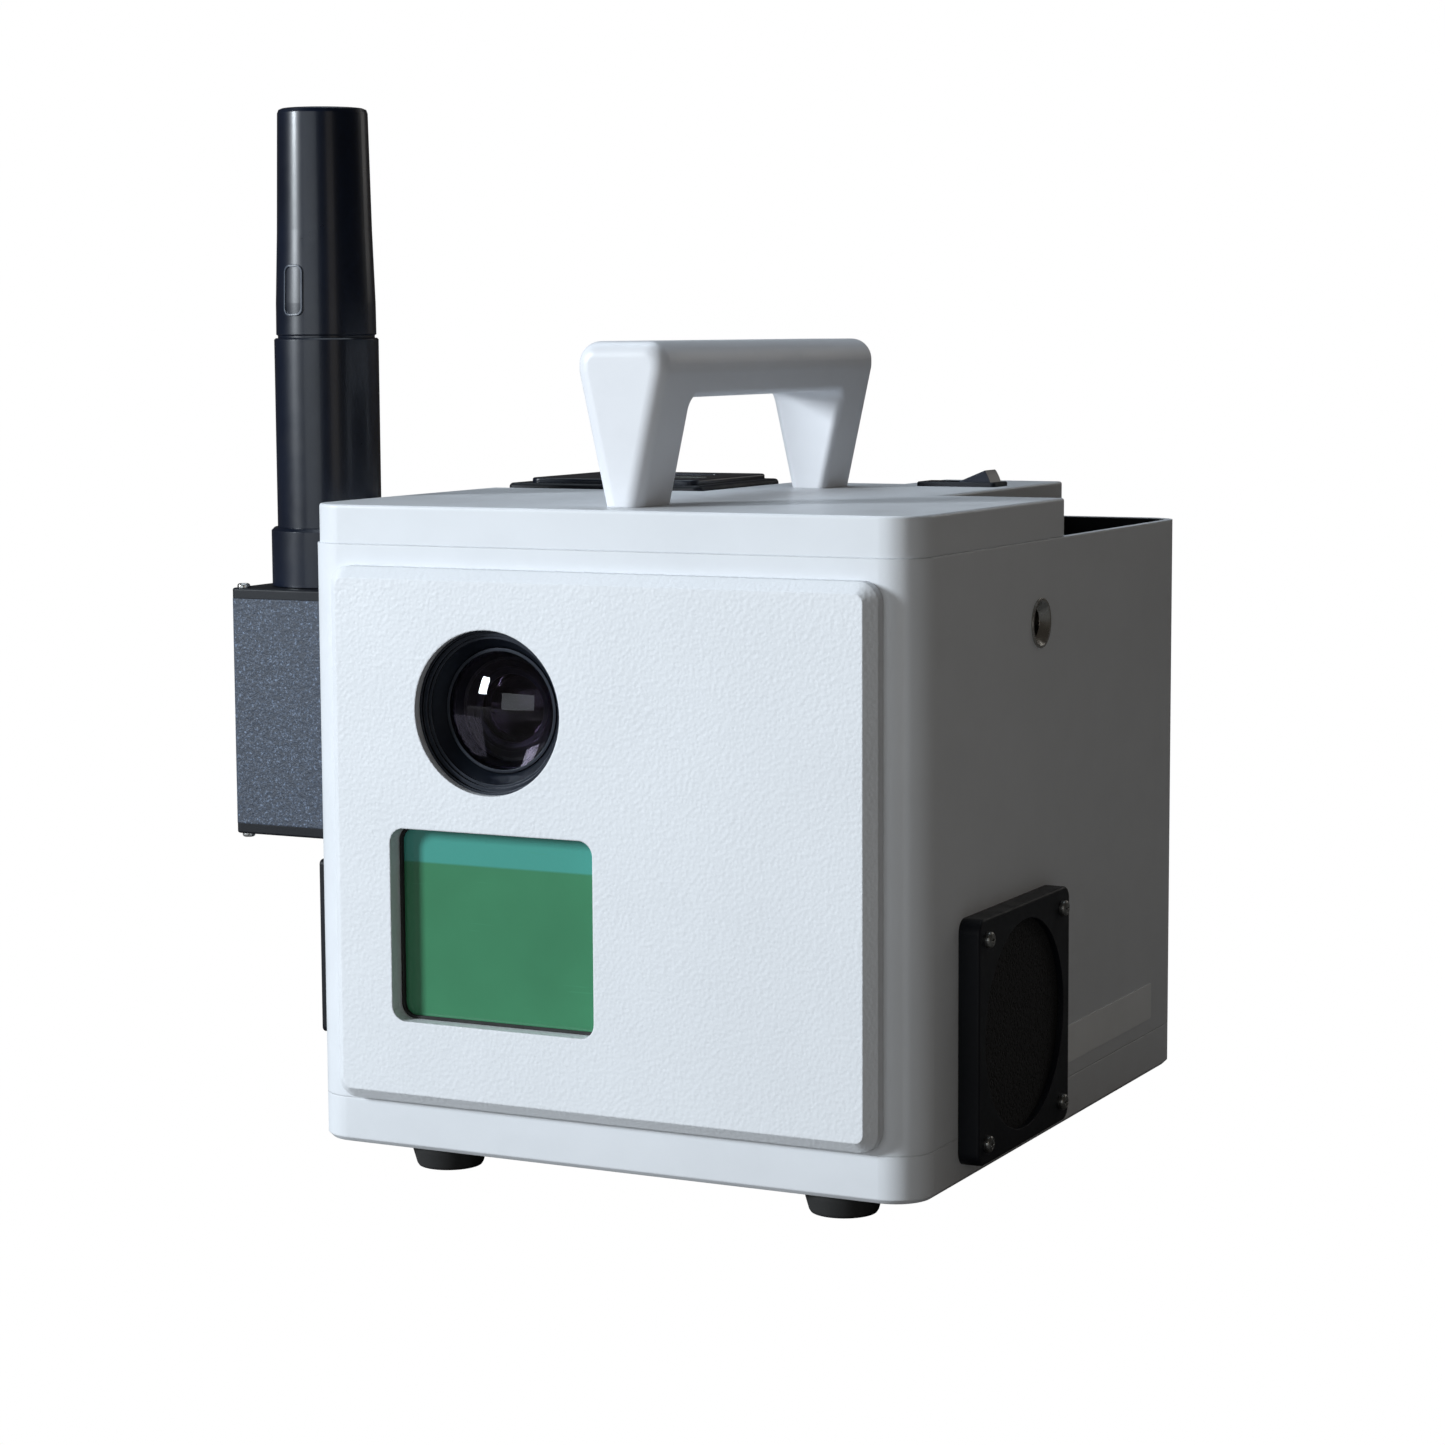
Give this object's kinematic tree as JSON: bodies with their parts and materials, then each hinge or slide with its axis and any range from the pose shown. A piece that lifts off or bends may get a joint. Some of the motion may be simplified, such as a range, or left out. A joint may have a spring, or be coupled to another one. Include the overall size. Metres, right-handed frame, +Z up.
{
  "type": "terrestrial laser scanner",
  "caption": "Box-shaped terrestrial laser scanner with a front camera, a scan window, a carrying handle, a side fan, an open rear bay and a rod antenna.",
  "frame": {"origin": "mouth of the tripod thread, in the middle of the base pan's underside", "axes": "+X towards the scanner's right side seen from its front, -Y out of its front, +Z up"},
  "size_m": [0.3055, 0.2738, 0.385],
  "materials": {
    "white_paint": "satin powder coat",
    "fascia_paint": "fine leather texture, satin",
    "handle_paint": "smooth satin",
    "black_plastic": "matt moulded",
    "gloss_black": "polished",
    "gauge_plastic": "clear window",
    "radio_shell": "speckled hammer finish",
    "rubber": "matt",
    "filter_foam": "open foam",
    "anodised_black": "black anodised",
    "aluminium": "machined",
    "steel": "zinc plated",
    "black_steel": "blackened",
    "brass": "plated",
    "sticker": "bare film",
    "connector": "nickel plated",
    "window_glass": "coated, green and teal",
    "lens_glass": "coated",
    "mirror": "front-surface mirror",
    "circuit_board": "solder mask"
  },
  "bodies": {
    "scanner": {"main_housing": "white_paint", "top_cover": "white_paint", "base_pan": "white_paint", "front_fascia": "fascia_paint", "carry_handle": "handle_paint", "battery_bay": "black_plastic", "connector_bay": "black_plastic", "battery_case": "black_plastic", "switch_body": "black_plastic", "fan_cover": "black_plastic", "fan_frame": "black_plastic", "exhaust_hood": "black_plastic", "radio_top_cap": "black_plastic", "radio_bottom_cap": "black_plastic", "battery_cap": "gloss_black", "battery_gauge": "gauge_plastic", "radio_case": "radio_shell", "radio_bracket": "radio_shell", "rubber_feet": "rubber", "window_gasket": "rubber", "filter_pad": "filter_foam", "lens_hood": "anodised_black", "lens_barrel": "anodised_black", "tripod_boss": "aluminium", "camera_body": "aluminium", "camera_shelf": "aluminium", "window_retainer": "aluminium", "optical_bench": "aluminium", "mirror_motor": "aluminium", "tilt_motor": "aluminium", "laser_emitter": "aluminium", "receiver_tube": "aluminium", "case_screws": "steel", "tripod_boss_screws": "steel", "foot_screws": "steel", "retainer_screws": "steel", "handle_screws": "steel", "hood_screws": "steel", "radio_screws": "steel", "fan_screws": "black_steel", "side_insert": "brass", "antenna_connector": "brass", "board_standoffs": "brass", "label_plate": "sticker", "power_port": "connector", "data_port": "connector", "scan_window": "window_glass", "lens_front_glass": "lens_glass", "lens_inner_glass": "lens_glass", "receiver_lens": "lens_glass", "main_board": "circuit_board", "power_board": "circuit_board"},
    "fan_rotor": {"fan_impeller": "black_plastic"},
    "rocker": {"power_rocker": "gloss_black"},
    "focus": {"focus_ring": "anodised_black"},
    "antenna": {"antenna_collar": "gloss_black", "antenna_tube": "gloss_black", "antenna_sleeve": "gloss_black"},
    "spinner": {"polygon_mirror": "mirror"},
    "nodder": {"tilt_mirror": "mirror"}
  },
  "joints": [
    {"name": "fan_spin", "type": "hinge", "parent": "scanner", "child": "fan_rotor", "pos_m": [0.1, -0.0545, 0.0498], "axis": [1, 0, 0], "continuous": true},
    {"name": "power_switch", "type": "hinge", "parent": "scanner", "child": "rocker", "pos_m": [0.049, 0.077, 0.2303], "axis": [0, 1, 0], "range_deg": [0, 21.5]},
    {"name": "focus_turn", "type": "hinge", "parent": "scanner", "child": "focus", "pos_m": [-0.0401, -0.112, 0.1612], "axis": [0, 1, 0], "range_deg": [-120, 120]},
    {"name": "antenna_turn", "type": "hinge", "parent": "scanner", "child": "antenna", "pos_m": [-0.1483, -0.072, 0.1985], "axis": [0, 0, 1], "range_deg": [0, 340]},
    {"name": "mirror_spin", "type": "hinge", "parent": "scanner", "child": "spinner", "pos_m": [-0.04, -0.075, 0.06], "axis": [0, 0, 1], "continuous": true},
    {"name": "mirror_nod", "type": "hinge", "parent": "scanner", "child": "nodder", "pos_m": [0.03, -0.075, 0.0836], "axis": [0.7071, 0.7071, 0], "range_deg": [-10, 10]}
  ]
}
